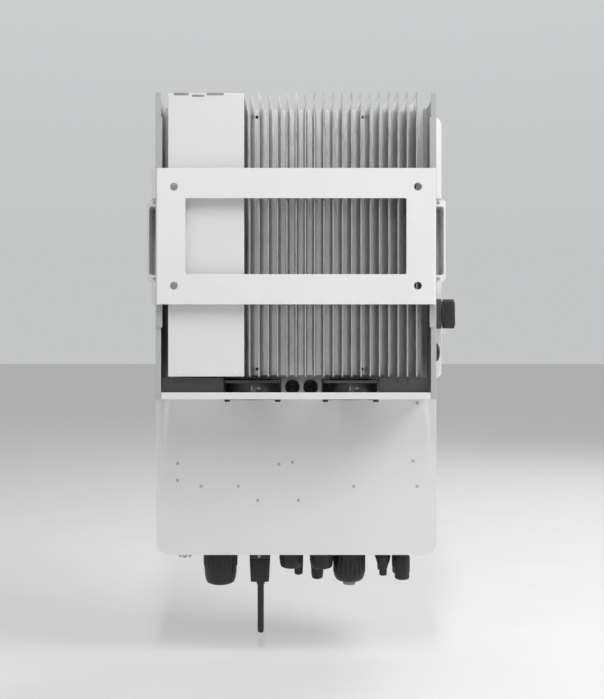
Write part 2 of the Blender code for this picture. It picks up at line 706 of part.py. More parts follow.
def make_electronics():
    board_y = -128
    board = box("power_board", (-185, 185), (board_y, board_y + 2), (-318, 112), BOARD)
    notch_z = (SWITCH_Z - 30, SWITCH_Z + 30)
    cut(board, box("switch_notch", SWITCH_SOCKET, (board_y - 1, board_y + 3), notch_z))
    for column, x in enumerate((-170, 170)):
        for row, z in enumerate((-300, 95)):
            reach = CASE_REAR - SHEET - GAP - board_y - 1
            join(board, drum(f"standoff_{column}{row}", (x, board_y + 1, z), "+Y", 4, reach, sides=8))
    bank_y = board_y - GAP
    bank = box("capacitor_bank", (-95, 85), (bank_y - 3, bank_y), (-300, -200), CAN)
    for column in range(4):
        for row in range(2):
            x = -72 + 45 * column
            z = -275 + 50 * row
            join(bank, drum(f"can_{column}{row}", (x, bank_y - 2, z), "-Y", 17.5, 52, sides=12))
    back = CASE_REAR - SHEET - GAP
    terminals = box("ac_terminal_block", (70, 180), (back - 32, back), (-430, -396), DARK_SHEET)
    for pole in range(6):
        x = 79 + 16.4 * pole
        cut(terminals, box(f"ac_pole_{pole}", (x - 5, x + 5), (back - 26, back - 40), (-440, -408)))
    battery = box("battery_terminal_block", (-110, -30), (back - 24, back), (-440, -400), DARK_SHEET)
    for pole, x in enumerate((-90, -50)):
        join(battery, drum(f"battery_stud_{pole}", (x, back - 20, -420), "-Y", 4, 24, sides=12))


def make_gland(use, x, y, thread, sizes, stand_out):
    """A gland body with its lock nut and blanking plug, and the dome nut round it."""
    flange, mouth, straight, nut_end = sizes
    top = (x, y, CASE_BOTTOM)
    core = flange - 6
    plug = mouth - 1.4
    nut_top = -8 - GAP
    body = [
        (0, 15), (thread, 15), (thread, 9), (thread + 4, 9), (thread + 4, SHEET + GAP),
        (thread, SHEET + GAP), (thread, -GAP), (flange, -GAP), (flange, -8), (core, -8),
        (core, -straight + 4), (plug, -straight - 2),
        (plug, -nut_end - stand_out), (0, -nut_end - stand_out),
    ]
    turned(f"gland_{use}_body", body, top, "+Z", BLACK)
    inner = core + GAP
    nut = [
        (inner, nut_top), (flange - 0.6, nut_top), (flange, nut_top - 3), (flange, -straight),
        ((2 * flange + mouth) / 3, -(straight + 1.4 * nut_end) / 2.4), (mouth + 2, -nut_end),
        (mouth - 1, -nut_end), (mouth - 1, -nut_end + 3), (inner, -straight + 3),
    ]
    turned(f"gland_{use}_nut", nut, top, "+Z", BLACK, ring=True)


def make_signal_gland(side, x, thread, radius, length):
    profile = [
        (0, 11), (thread, 11), (thread, 7), (thread + 3, 7), (thread + 3, SHEET + GAP),
        (thread, SHEET + GAP), (thread, -GAP), (radius, -GAP), (radius, -length + 8),
        (radius * 0.72, -length + 1), (radius * 0.6, -length), (0, -length),
    ]
    turned(f"signal_gland_{side}", profile, (x, FRONT_ROW, CASE_BOTTOM), "+Z", BLACK, 14)


def make_pv_connector(number, x, y):
    """A panel socket for one solar string lead, with its sealing cap on."""
    profile = [
        (0, 12), (PV_THREAD, 12), (PV_THREAD, 8), (13, 8), (13, SHEET + GAP), (PV_THREAD, SHEET + GAP),
        (PV_THREAD, -GAP), (PV_FLANGE, -GAP), (PV_FLANGE, -12),
    ]
    profile += PV_CAPS[x]
    turned(f"pv_connector_{number}", profile, (x, y, CASE_BOTTOM), "+Z", BLACK, 16)


def make_logger():
    """The plug-in data logger: threaded collar, body and rod aerial."""
    top = (LOGGER_X, REAR_ROW, CASE_BOTTOM)
    collar = [
        (0, 10), (LOGGER_THREAD, 10), (LOGGER_THREAD, -GAP), (15.6, -GAP), (15.6, -8), (0, -8),
    ]
    logger = turned("logger_body", collar, top, "+Z", BLACK)
    body = box(
        "logger_case", (LOGGER_X - 16.3, LOGGER_X + 16.3), (REAR_ROW - 13, REAR_ROW + 13),
        (CASE_BOTTOM - 52, CASE_BOTTOM - 7), None, "Z", 5, 4,
    )
    join(logger, body)
    aerial = [
        (0, 0), (6.5, 0), (5.1, -6), (4.9, -79), (3.4, -81.5), (0, -81.5),
    ]
    turned("logger_aerial", aerial, (LOGGER_X - 1, REAR_ROW, CASE_BOTTOM - 52 - GAP), "+Z", BLACK, 12)


def make_connectors():
    for use, (x, y, thread, sizes, stand_out) in GLANDS.items():
        make_gland(use, x, y, thread, sizes, stand_out)
    for side, (x, thread, radius, length) in SIGNAL_GLANDS.items():
        make_signal_gland(side, x, thread, radius, length)
    number = 1
    for row in (REAR_ROW, FRONT_ROW):
        for x in PV_CAPS:
            make_pv_connector(number, x, row)
            number += 1
    make_logger()


def shade_round_faces():
    for obj in bpy.data.collections["string_inverter"].objects:
        obj.data.shade_smooth()
        obj.data.set_sharp_from_angle(angle=math.radians(32))


def main():
    start_scene()
    make_housing()
    make_partition()
    make_covers()
    make_gasket("front_gasket", (SEAM + 3, CASE_TOP - 1))
    make_gasket("wiring_gasket", (CASE_BOTTOM + 1, SEAM - 3))
    make_heat_sink()
    make_inductor_box()
    make_rear_walls()
    make_fan_shelf()
    make_baffles()
    for side in FAN_X:
        make_fan(side)
    make_grommets()
    make_hanging_frame()
    make_hanger_arms()
    make_sides()
    make_dc_switch()
    make_power_button()
    make_display()
    make_electronics()
    make_connectors()
    shade_round_faces()


main()
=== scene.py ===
"""The string inverter's looks: materials, fine pieces, light, floor and camera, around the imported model."""

import json
from math import cos, pi, radians, sin, sqrt

import bmesh
import bpy
from mathutils import Matrix, Vector


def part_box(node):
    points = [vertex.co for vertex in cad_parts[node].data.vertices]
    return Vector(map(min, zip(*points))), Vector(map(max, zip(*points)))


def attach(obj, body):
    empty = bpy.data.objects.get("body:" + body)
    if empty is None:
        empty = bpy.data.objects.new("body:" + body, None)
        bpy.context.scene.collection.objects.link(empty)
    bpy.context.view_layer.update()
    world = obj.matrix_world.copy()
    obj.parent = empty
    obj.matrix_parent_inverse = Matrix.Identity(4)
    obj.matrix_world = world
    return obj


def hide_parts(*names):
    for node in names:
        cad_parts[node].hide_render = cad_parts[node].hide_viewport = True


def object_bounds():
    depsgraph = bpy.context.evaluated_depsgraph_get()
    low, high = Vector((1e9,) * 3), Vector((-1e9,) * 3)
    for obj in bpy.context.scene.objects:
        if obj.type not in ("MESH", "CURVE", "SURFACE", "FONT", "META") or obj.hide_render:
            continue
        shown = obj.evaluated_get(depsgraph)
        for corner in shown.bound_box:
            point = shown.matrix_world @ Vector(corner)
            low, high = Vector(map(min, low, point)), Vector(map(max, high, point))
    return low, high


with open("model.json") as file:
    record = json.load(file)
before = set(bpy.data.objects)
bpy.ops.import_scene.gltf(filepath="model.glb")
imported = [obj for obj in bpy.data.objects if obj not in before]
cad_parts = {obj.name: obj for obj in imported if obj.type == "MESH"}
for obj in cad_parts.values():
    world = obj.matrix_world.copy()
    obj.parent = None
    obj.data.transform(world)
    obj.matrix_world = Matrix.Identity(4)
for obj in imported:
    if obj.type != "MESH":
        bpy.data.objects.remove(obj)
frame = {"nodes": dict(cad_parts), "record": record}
cad_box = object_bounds()

MM = 0.001  # the pieces' sizes and places are in millimetres, and the tools scale them by this
CASING = "casing"
SHARP = radians(34)  # two faces that meet at more than this show an edge

# Brightness of the studio: behind the camera, overhead and behind the inverter
WALL_LIGHT = 0.33
ROOF_LIGHT = 0.52
BACKDROP_LIGHT = 0.56

# The studio's lamps: place, width and height in metres, and power in watts
LAMPS = {
    "key": ((-1.75, 0.7, 1.3), 1.1, 1.1, 31),
    "strip": ((0.03, 1.5, 1.7), 0.15, 1.6, 20),
    "display_side": ((-1.5, -1.9, 1.4), 1.4, 1.4, 20),
}
LAMP_AIM = (0, -0.12, -0.25)
CAMERA_PLACE = (-0.0085, 1.352, -0.2269)
CAMERA_LENS = 50
FLOOR_DROP = 0.03  # metres from the aerial's tip down to the floor

# Radius and height of each kind of screw head
COVER_SCREW = (3.6, 1.6)
SIDE_PLATE_SCREW = (3.4, 1.5)
HANDLE_SCREW = (2.7, 0.9)
REAR_WALL_SCREW = (3.6, 1.4)
FRAME_FOLD_SCREW = (3.0, 1.2)
COIL_BOX_SCREW = (2.2, 0.5)
SINK_SCREW = (2.3, 2.0)
FAN_SCREW = (4.2, 2.2)
SWITCH_BASE_SCREW = (2.3, 0.9)

FAN_HOLE_PITCH = 71.5
HANDLE_SCREW_X = 219
SINK_SCREW_X = (58.5, -98.1)

# The stud heads on the casing's back: x and z
STUD_SPOTS = (
    (178, -398), (178, -423), (143, -432), (87, -432), (58, -453), (-3, -453), (26, -399), (6, -396),
    (-86, -432), (-175, -394), (-181, -432), (-181, -307),
)
# The grey tabs on the inductor box: x from and to, and z from and to above the box's top
COIL_BOX_TABS = ((151, 171.5, -2.8, 0.4), (129, 146, -4.8, -2.4), (101.5, 125, -2.8, 0.4))

# Each turns a piece drawn along +Z to stand along another direction.
TURN = {
    "+X": Matrix.Rotation(radians(90), 4, "Y"),
    "-X": Matrix.Rotation(radians(-90), 4, "Y"),
    "+Y": Matrix.Rotation(radians(-90), 4, "X"),
    "-Y": Matrix.Rotation(radians(90), 4, "X"),
    "+Z": Matrix.Identity(4),
    "-Z": Matrix.Rotation(radians(180), 4, "X"),
}


class Span:
    """A CAD node's place at rest, in millimetres."""

    def __init__(self, node):
        self.low, self.high = (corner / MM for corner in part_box(node))
        self.mid = (self.low + self.high) / 2
        self.size = self.high - self.low


case = Span("main_housing")
cover = Span("front_cover")
wiring = Span("wiring_cover")
plate = Span("mounting_frame")
shelf = Span("fan_shelf")
sink = Span("heat_sink")
coil_box = Span("inductor_box")
fascia = Span("display_window")


# Materials


def shader_of(name, roughness, metallic, coat):
    made = bpy.data.materials.new(name)
    made.use_nodes = True
    shader = made.node_tree.nodes["Principled BSDF"]
    shader.inputs["Roughness"].default_value = roughness
    shader.inputs["Metallic"].default_value = metallic
    shader.inputs["Coat Weight"].default_value = coat
    return made, shader


def noise(tree, scale, detail, stretch=(1, 1, 1)):
    """Noise in the object's own coordinates. scale counts the features in a metre."""
    place = tree.nodes.new("ShaderNodeTexCoord")
    spread = tree.nodes.new("ShaderNodeMapping")
    spread.inputs["Scale"].default_value = stretch
    grain = tree.nodes.new("ShaderNodeTexNoise")
    grain.inputs["Scale"].default_value = scale
    grain.inputs["Detail"].default_value = detail
    tree.links.new(place.outputs["Object"], spread.inputs["Vector"])
    tree.links.new(spread.outputs["Vector"], grain.inputs["Vector"])
    return grain.outputs["Fac"]


def ranged(tree, value, low, high):
    """value from 0.3 to 0.7, where noise mostly lies, as low to high."""
    step = tree.nodes.new("ShaderNodeMapRange")
    step.inputs["From Min"].default_value = 0.3
    step.inputs["From Max"].default_value = 0.7
    step.inputs["To Min"].default_value = low
    step.inputs["To Max"].default_value = high
    tree.links.new(value, step.inputs["Value"])
    return step.outputs["Result"]


def blended(tree, value, first, second):
    mix = tree.nodes.new("ShaderNodeMix")
    mix.data_type = "RGBA"
    mix.inputs["A"].default_value = (*first, 1)
    mix.inputs["B"].default_value = (*second, 1)
    tree.links.new(value, mix.inputs["Factor"])
    return mix.outputs["Result"]


def finish(
    name, colour, roughness, metallic=0.0, tint=0.05, spread=0.05, grain=900, relief=0.03,
    stretch=(1, 1, 1), coat=0.0,
):
    """A surface with a fine relief, a cloudy tint and uneven roughness.

    relief is in millimetres, and grain counts the pits in a metre.
    """
    made, shader = shader_of(name, roughness, metallic, coat)
    tree = made.node_tree
    cloud = noise(tree, 9, 3)
    fine = noise(tree, grain, 2, stretch)
    darker = [channel * (1 - tint) for channel in colour]
    lighter = [min(1.0, channel * (1 + tint)) for channel in colour]
    tree.links.new(blended(tree, ranged(tree, cloud, 0, 1), darker, lighter), shader.inputs["Base Color"])
    uneven = ranged(tree, fine, roughness - spread, roughness + spread)
    tree.links.new(uneven, shader.inputs["Roughness"])
    bump = tree.nodes.new("ShaderNodeBump")
    bump.inputs["Strength"].default_value = 0.5
    bump.inputs["Distance"].default_value = relief * MM
    tree.links.new(fine, bump.inputs["Height"])
    tree.links.new(bump.outputs["Normal"], shader.inputs["Normal"])
    return made


def painted(name, colour, roughness, grain=1100):
    """Powder coat: an even colour over a fine orange peel."""
    return finish(name, colour, roughness, tint=0.015, grain=grain, relief=0.05)


def moulded(name, colour, roughness, grain=1500):
    """Moulded plastic or rubber with a finely eroded surface."""
    return finish(name, colour, roughness, tint=0.12, grain=grain, relief=0.03)


def cast_with_painted_depth_light(name, tip, painted_lit_root):
    """Bare cast metal with painted light: darker at the fins' tips and brighter deep between them, standing
    in for light that reaches the deep channels.
    """
    made = finish(
        name, tip, 0.3, 1.0, tint=0.04, spread=0.06, grain=700, relief=0.04, stretch=(1, 1, 0.05)
    )
    tree = made.node_tree
    place = tree.nodes.new("ShaderNodeTexCoord")
    split = tree.nodes.new("ShaderNodeSeparateXYZ")
    # Painted light: the colour brightens with depth, from the fins' tips down to the floor between them.
    depth = tree.nodes.new("ShaderNodeMapRange")
    depth.inputs["From Min"].default_value = sink.high.y * MM
    depth.inputs["From Max"].default_value = (sink.low.y + 11) * MM
    tree.links.new(place.outputs["Object"], split.inputs["Vector"])
    tree.links.new(split.outputs["Y"], depth.inputs["Value"])
    shader = tree.nodes["Principled BSDF"]
    tree.links.new(blended(tree, depth.outputs["Result"], tip, painted_lit_root), shader.inputs["Base Color"])
    return made


def glassy(name, colour, coat=0.0):
    return finish(name, colour, 0.13, spread=0.03, grain=300, relief=0.002, coat=coat)


MATERIALS = {
    "casing_white": painted("casing_white", (0.78, 0.78, 0.785), 0.42),
    "bracket_white": painted("bracket_white", (0.84, 0.84, 0.845), 0.45),
    "trim_white": painted("trim_white", (0.74, 0.74, 0.75), 0.5, 1600),
    "wall_grey": painted("wall_grey", (0.46, 0.465, 0.47), 0.48),
    # cast_aluminium carries painted light: brighter deep between the fins than at their tips.
    "cast_aluminium": cast_with_painted_depth_light("cast_aluminium", (0.80, 0.802, 0.805), (0.96, 0.96, 0.96)),
    "sheet_steel": finish(
        "sheet_steel", (0.52, 0.53, 0.54), 0.35, 0.9, grain=500, relief=0.01, stretch=(1, 0.1, 1)
    ),
    # dark_sheet is nearly black: painted shade on the baffle sheets beside the fans, standing where the
    # recess is only in deep shade.
    "dark_sheet": painted("dark_sheet", (0.075, 0.075, 0.078), 0.6),
    "seal_rubber": moulded("seal_rubber", (0.028, 0.028, 0.029), 0.62),
    "gloss_fascia": glassy("gloss_fascia", (0.010, 0.010, 0.012), coat=0.6),
    "light_lens": finish("light_lens", (0.70, 0.73, 0.70), 0.3, tint=0.02, grain=600, relief=0.01),
    "display_black": glassy("display_black", (0.045, 0.055, 0.06)),
    "circuit_board": finish("circuit_board", (0.02, 0.13, 0.05), 0.4, tint=0.15, grain=400),
    "capacitor_can": finish("capacitor_can", (0.03, 0.06, 0.16), 0.3, grain=300, relief=0.01),
    "copper_coil": finish(
        "copper_coil", (0.55, 0.24, 0.10), 0.3, 0.9, grain=600, relief=0.2, stretch=(1, 1, 0.1)
    ),
    "terminal_plastic": moulded("terminal_plastic", (0.05, 0.05, 0.055), 0.5, 900),
    "knob_black": moulded("knob_black", (0.022, 0.022, 0.024), 0.5, 2200),
    "black_nylon": moulded("black_nylon", (0.012, 0.012, 0.0135), 0.45),
    "fan_plastic": moulded("fan_plastic", (0.018, 0.020, 0.023), 0.5),
    "key_rubber": moulded("key_rubber", (0.36, 0.36, 0.37), 0.6),
}
SCREW_STEEL = finish("screw_steel", (0.55, 0.56, 0.57), 0.3, 0.95, tint=0.06, relief=0.01)
STUD_STEEL = finish("stud_steel", (0.50, 0.47, 0.485), 0.4, 0.5, tint=0.05, relief=0.01)
SCREW_BLACK = finish("screw_black", (0.05, 0.05, 0.052), 0.4, 0.4, tint=0.1, relief=0.01)
MARK_WHITE = painted("mark_white", (0.62, 0.62, 0.62), 0.55)
MARK_GREY = painted("mark_grey", (0.16, 0.16, 0.165), 0.5)
PLUG_GREY = moulded("plug_grey", (0.30, 0.30, 0.31), 0.5)
TAB_GREY = moulded("tab_grey", (0.33, 0.33, 0.335), 0.6)

# The record's slot that each material is the finish of, or comes nearest to
RECORD_SLOT = {made.name: slot for slot, made in MATERIALS.items()}
RECORD_SLOT.update({
    SCREW_STEEL.name: "sheet_steel",
    STUD_STEEL.name: "sheet_steel",
    SCREW_BLACK.name: "dark_sheet",
    MARK_WHITE.name: "trim_white",
    MARK_GREY.name: "trim_white",
    PLUG_GREY.name: "key_rubber",
    TAB_GREY.name: "key_rubber",
})


def paint_cad_nodes():
    for entry in frame["record"]["subparts"]:
        node = frame["nodes"][entry["node"]]
        node.data.materials.clear()
        node.data.materials.append(MATERIALS[entry["material_slot"]])


# How far the edges of sheets, castings and mouldings are rounded
SOFT_EDGES = {
    "main_housing": 1.2, "front_cover": 1.6, "wiring_cover": 1.6, "side_plate_left": 1.5,
    "side_plate_right": 1.5, "handle_left": 1.0, "handle_right": 1.0, "mounting_frame": 0.5,
    "inductor_box": 0.8, "fan_shelf": 0.5, "rear_wall_left": 0.4, "rear_wall_right": 0.4,
    "hanger_arm_left": 0.4, "hanger_arm_right": 0.4, "dc_switch_base": 1.0, "display_window": 0.4,
    "heat_sink": 0.8, "baffle_left": 0.3, "baffle_right": 0.3, "status_light_bar": 0.3,
    "fan_frame_left": 0.4, "fan_frame_right": 0.4,
}


def soften_cad_nodes():
    """Small round edges and smooth shading, by modifiers that leave the CAD meshes as they are."""
    for node, width in SOFT_EDGES.items():
        obj = frame["nodes"][node]
        weld = obj.modifiers.new("weld", "WELD")
        weld.merge_threshold = 0.00001
        flat = obj.modifiers.new("one_face_a_plane", "DECIMATE")
        flat.decimate_type = "DISSOLVE"
        flat.angle_limit = radians(0.5)
        bevel = obj.modifiers.new("soft_edges", "BEVEL")
        bevel.width = width * MM
        bevel.segments = 2
        bevel.limit_method = "ANGLE"
        bevel.angle_limit = radians(40)
        bevel.use_clamp_overlap = True
        shade = obj.modifiers.new("shade", "WEIGHTED_NORMAL")
        shade.weight = 100
        for face in obj.data.polygons:
            face.use_smooth = True


# Tools for the fine pieces


def metres(x, y, z):
    return Vector((x, y, z)) * MM


def dress(piece, material, body, replaces):
    """Links a piece, and says its body, finish and the CAD nodes that it stands for."""
    bpy.context.scene.collection.objects.link(piece)
    piece.data.materials.append(material)
    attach(piece, body)
    if replaces:
        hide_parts(*replaces)
    return piece


def add_piece(name, bm, material, place=Matrix.Identity(4), body=CASING, replaces=()):
    """Adds a mesh drawn in millimetres as a piece that rides on body."""
    bmesh.ops.scale(bm, vec=(MM, MM, MM), verts=bm.verts)
    bmesh.ops.recalc_face_normals(bm, faces=bm.faces)
    mesh = bpy.data.meshes.new(name)
    bm.to_mesh(mesh)
    bm.free()
    mesh.shade_smooth()
    mesh.set_sharp_from_angle(angle=SHARP)
    piece = bpy.data.objects.new(name, mesh)
    piece.matrix_world = place
    return dress(piece, material, body, replaces)


def circle(angle):
    return 1.0


def polygon(sides):
    """The share of its corners' radius that a polygon has at an angle."""
    half = pi / sides
    return lambda angle: cos(half) / cos(angle % (2 * half) - half)


def fluted(count, depth):
    """A circle with count rounded grooves. depth is the groove's share of the radius."""
    return lambda angle: 1 - depth * (0.5 + 0.5 * cos(count * angle)) ** 3


hexagon = polygon(6)


def loft(bm, loops, closed=False):
    """A body through loops with equally many points. It is capped, or closed into a ring."""
    rings = [[bm.verts.new(point) for point in loop] for loop in loops]
    pairs = list(zip(rings, rings[1:]))
    if closed:
        pairs.append((rings[-1], rings[0]))
    else:
        bm.faces.new(rings[0])
        bm.faces.new(rings[-1])
    for first, second in pairs:
        for step in range(len(first)):
            following = (step + 1) % len(first)
            bm.faces.new((first[step], first[following], second[following], second[step]))


def lathe(bm, rows, count=48, centre=(0, 0, 0), turn=None, closed=False):
    """A turned body from rows of (radius, height) or (radius, height, shape)."""
    turn = turn or Matrix.Identity(3)
    loops = []
    for radius, height, *shape in rows:
        reach = shape[0] if shape else circle
        loop = []
        for step in range(count):
            angle = 2 * pi * step / count
            out = radius * reach(angle)
            loop.append(turn @ Vector((out * cos(angle), out * sin(angle), height)) + Vector(centre))
        loops.append(loop)
    loft(bm, loops, closed)


def turned(name, rows, material, centre, axis, count=48, closed=False, **settings):
    bm = bmesh.new()
    lathe(bm, rows, count, closed=closed)
    return add_piece(name, bm, material, Matrix.Translation(metres(*centre)) @ TURN[axis], **settings)


def dome(radius, height, end_radius, end_height, steps=6):
    """Rows along a quarter of an ellipse that starts upright and ends flat."""
    rows = []
    for step in range(steps + 1):
        angle = pi / 2 * step / steps
        rows.append((
            end_radius + (radius - end_radius) * cos(angle),
            height + (end_height - height) * sin(angle),
        ))
    return rows


def block(bm, low, high, radius=0.0, steps=3, axis=None):
    """A box with its edges rounded, all of them or those along one axis. Returns its points."""
    low, high = Vector(low), Vector(high)
    size = high - low
    before = set(bm.verts)
    place = Matrix.Translation((low + high) / 2) @ Matrix.Diagonal((*size, 1))
    made = bmesh.ops.create_cube(bm, size=1.0, matrix=place)["verts"]
    edges = {edge for vert in made for edge in vert.link_edges}
    if axis:
        along = "XYZ".index(axis)
        edges = {e for e in edges if abs((e.verts[0].co - e.verts[1].co)[along]) > 0.6 * size[along]}
    if radius:
        bmesh.ops.bevel(bm, geom=list(edges), offset=radius, segments=steps, profile=0.5, affect="EDGES")
    return [vert for vert in bm.verts if vert not in before]


def screw_head(bm, centre, axis, radius, height, drive):
    """A pan head with a hex or square socket, standing from centre along axis."""
    socket = 0.45 * radius
    rows = [
        (radius * 0.9, -0.4), (radius, 0), (radius, height * 0.5), (radius * 0.86, height * 0.86),
        (radius * 0.7, height), (socket * 1.25, height), (socket, height * 0.98, drive),
        (socket * 0.96, height * 0.35, drive),
    ]
    lathe(bm, rows, 24, centre, TURN[axis].to_3x3())


def screws(name, places, axis, radius, height, material=SCREW_STEEL, drive=hexagon):
    bm = bmesh.new()
    for place in places:
        screw_head(bm, place, axis, radius, height, drive)
    return add_piece(name, bm, material)


def ring_of(centre, radius, count=40):
    x, y, z = centre
    return [
        (x + radius * cos(2 * pi * step / count), y + radius * sin(2 * pi * step / count), z)
        for step in range(count)
    ]


def wires(name, rings, bars, thickness, material):
    """Round wires in one piece: closed rings and open bars, given as lists of points."""
    curve = bpy.data.curves.new(name, "CURVE")
    curve.dimensions = "3D"
    curve.bevel_depth = thickness / 2 * MM
    curve.bevel_resolution = 2
    curve.use_fill_caps = True
    for points, closed in [(ring, True) for ring in rings] + [(bar, False) for bar in bars]:
        spline = curve.splines.new("POLY")
        spline.points.add(len(points) - 1)
        for place, point in zip(spline.points, points):
            place.co = (*metres(*point), 1)
        spline.use_cyclic_u = closed
    return dress(bpy.data.objects.new(name, curve), material, CASING, ())


def arrow(bm, centre, across, along, length, lift):
    """A flat raised arrow that points along, with its face turned towards across x along."""
    across, along = Vector(across), Vector(along)
    out = across.cross(along)
    shaft, head = 0.14, 0.36
    half = [(shaft, -0.5), (shaft, 0.08), (head, 0.08), (0.001, 0.5)]
    points = half + [(-x, y) for x, y in reversed(half)]
    loops = [
        [Vector(centre) + (across * x + along * y) * length + out * height for x, y in points]
        for height in (-0.3, lift)
    ]
    loft(bm, loops)


# Casing and frame


def make_casing_details():
    """Stud heads on the casing's back, and the screws of both covers."""
    rear = case.high.y
    studs = bmesh.new()
    for x, z in STUD_SPOTS:
        lathe(studs, [(2.4, -0.3), (2.4, 0.12), (2.0, 0.25)], 20, (x, rear, z), TURN["+Y"].to_3x3())
    add_piece("rear_studs", studs, STUD_STEEL)

    edge = 7
    sides = [sign * (case.high.x - edge) for sign in (-1, 1)]
    heights = (cover.high.z - 22, -40, -190, cover.low.z + 16)
    screws("cover_screws", [(x, cover.low.y, z) for x in sides for z in heights], "-Y", *COVER_SCREW)
    heights = (wiring.high.z - 16, wiring.low.z + 24)
    places = [(x, cover.low.y, z) for x in sides for z in heights]
    places += [(x, cover.low.y, wiring.low.z + edge) for x in (-110, 0, 110)]
    screws("wiring_cover_screws", places, "-Y", *COVER_SCREW)


def make_earth_terminal():
    """The earth bolt and its two smaller screws, hanging under the bottom plate near its rear edge."""
    bm = bmesh.new()
    for x, radius, height in ((176.6, 2.4, 7.2), (169.8, 3.4, 8.4), (162.3, 2.8, 7.2)):
        rows = [
            (radius + 1, -0.3), (radius + 1, 1.2), (radius, 1.3), (radius, 1.5, hexagon),
            (radius, height - 1.8, hexagon), (radius * 0.7, height - 1.4), (radius * 0.6, height),
        ]
        lathe(bm, rows, 36, (x, case.high.y - 18, case.low.z), TURN["-Z"].to_3x3())
    add_piece("earth_terminal", bm, SCREW_STEEL)


def make_side_details():
    """Screws of the side plates, the handles, the rear walls and the hanging frame's folds."""
    plates_out = Span("side_plate_right").high.x
    for side, sign, axis in (("left", -1, "-X"), ("right", 1, "+X")):
        cladding = Span(f"side_plate_{side}")
        face = sign * plates_out
        rows = (cladding.low.z + 16, cladding.high.z - 16)
        columns = (cladding.low.y + 12, cladding.high.y - 12)
        places = [(face, y, z) for y in columns for z in rows]
        screws(f"side_plate_screws_{side}", places, axis, *SIDE_PLATE_SCREW)

        handle = Span(f"handle_{side}")
        heights = (handle.low.z + 5.5, handle.high.z - 5.5)
        places = [(sign * HANDLE_SCREW_X, handle.high.y, z) for z in heights]
        screws(f"handle_screws_{side}", places, "+Y", *HANDLE_SCREW)

        wall = Span(f"rear_wall_{side}")
        face = sign * max(abs(wall.low.x), abs(wall.high.x))
        places = [(face, y, z) for y in (-80, -36) for z in (104, -70, -244)]
        screws(f"rear_wall_screws_{side}", places, axis, *REAR_WALL_SCREW)

        heights = (plate.high.z - 38, plate.low.z + 38)
        places = [(sign * plate.high.x, plate.mid.y - 1, z) for z in heights]
        screws(f"frame_fold_screws_{side}", places, axis, *FRAME_FOLD_SCREW)


def make_coil_box_details():
    """The grey tabs over the inductor box's top edge, and two screws low on its rear face."""
    rear, top = coil_box.high.y, coil_box.high.z
    tabs = bmesh.new()
    for x_low, x_high, z_low, z_high in COIL_BOX_TABS:
        block(tabs, (x_low, rear - 0.3, top + z_low), (x_high, rear + 0.7, top + z_high), 0.3, 2)
    add_piece("coil_box_tabs", tabs, TAB_GREY)
    places = [(x, rear, coil_box.low.z + 6) for x in (coil_box.low.x + 14, coil_box.high.x - 14)]
    screws("coil_box_screws", places, "+Y", *COIL_BOX_SCREW, MATERIALS["bracket_white"])


def make_sink_screws():
    """Socket screws sunk in the heat sink's four holes."""
    floor = sink.low.y + 6
    places = [(x, floor, z) for x in SINK_SCREW_X for z in (sink.low.z + 9, sink.high.z - 16)]
    screws("sink_screws", places, "+Y", *SINK_SCREW, SCREW_BLACK)


# Fans


def make_blade(bm, hub_radius, tip_radius, start, middle):
    """One swept and twisted fan blade."""
    along, across = 6, 8
    grid = []
    for i in range(along + 1):
        out = i / along
        reach = hub_radius + (tip_radius - hub_radius) * out
        row = []
        for j in range(across + 1):
            side = j / across - 0.5
            angle = start + radians(44 - 4 * out) * side + radians(12) * out * out
            rise = (15 - 4 * out) * side + 3.2 * (0.25 - side * side)
            row.append(bm.verts.new((reach * cos(angle), reach * sin(angle), middle + rise)))
        grid.append(row)
    faces = [
        bm.faces.new((grid[i][j], grid[i + 1][j], grid[i + 1][j + 1], grid[i][j + 1]))
        for i in range(along)
        for j in range(across)
    ]
    bmesh.ops.solidify(bm, geom=faces, thickness=1.1)


def make_rotor(side):
    rotor = Span(f"fan_rotor_{side}")
    centre = (rotor.mid.x, rotor.mid.y, rotor.low.z)
    height = rotor.size.z
    hub = 16
    blades = 7
    bm = bmesh.new()
    rows = [
        (4, 0.9), (12.4, 0.9), (12.8, 0.1), (hub - 0.8, 0), (hub, 0.8), (hub, height - 1),
        (hub - 1, height), (5, height),
    ]
    lathe(bm, rows, 56)
    for number in range(blades):
        make_blade(bm, hub - 0.6, rotor.size.y / 2 - 0.6, 2 * pi * number / blades, height / 2)
    place = Matrix.Translation(metres(*centre))
    node = f"fan_rotor_{side}"
    add_piece(f"impeller_{side}", bm, MATERIALS["fan_plastic"], place, node, (node,))


def make_fan_details(side):
    """One fan's finger guard and screws under the shelf, and the two arrows on its frame."""
    fan = Span(f"fan_frame_{side}")
    half_pitch = FAN_HOLE_PITCH / 2
    corners = [(fan.mid.x + a * half_pitch, fan.mid.y + b * half_pitch) for a in (-1, 1) for b in (-1, 1)]
    guard_z = shelf.low.z - 0.9
    centre = (fan.mid.x, fan.mid.y, guard_z)
    rings = [ring_of(centre, radius) for radius in (8, 15.5, 23, 30.5)]
    rings += [ring_of((x, y, guard_z), 3.4, 20) for x, y in corners]
    bars = []
    for x, y in corners:
        inner, outer = Vector(centre), Vector((x, y, guard_z))
        way = (outer - inner).normalized()
        bars.append([inner + way * 8, outer - way * 3.4])
    wires(f"finger_guard_{side}", rings, bars, 1.5, SCREW_BLACK)
    below = shelf.low.z - 1.7
    places = [(x, y, below) for x, y in corners]
    screws(f"fan_screws_{side}", places, "-Z", *FAN_SCREW, SCREW_BLACK, polygon(4))

    marks = bmesh.new()
    barrel = fan.size.y / 2 - 0.2
    mark_z = fan.low.z + 13.6
    for offset, along, across in ((1, (0, 0, -1), (1, 0, 0)), (-8.6, (-1, 0, 0), (0, 0, -1))):
        rear = fan.mid.y + sqrt(barrel**2 - offset**2)
        arrow(marks, (fan.mid.x + offset, rear, mark_z), across, along, 7, 0.25)
    add_piece(f"fan_arrows_{side}", marks, MARK_GREY)


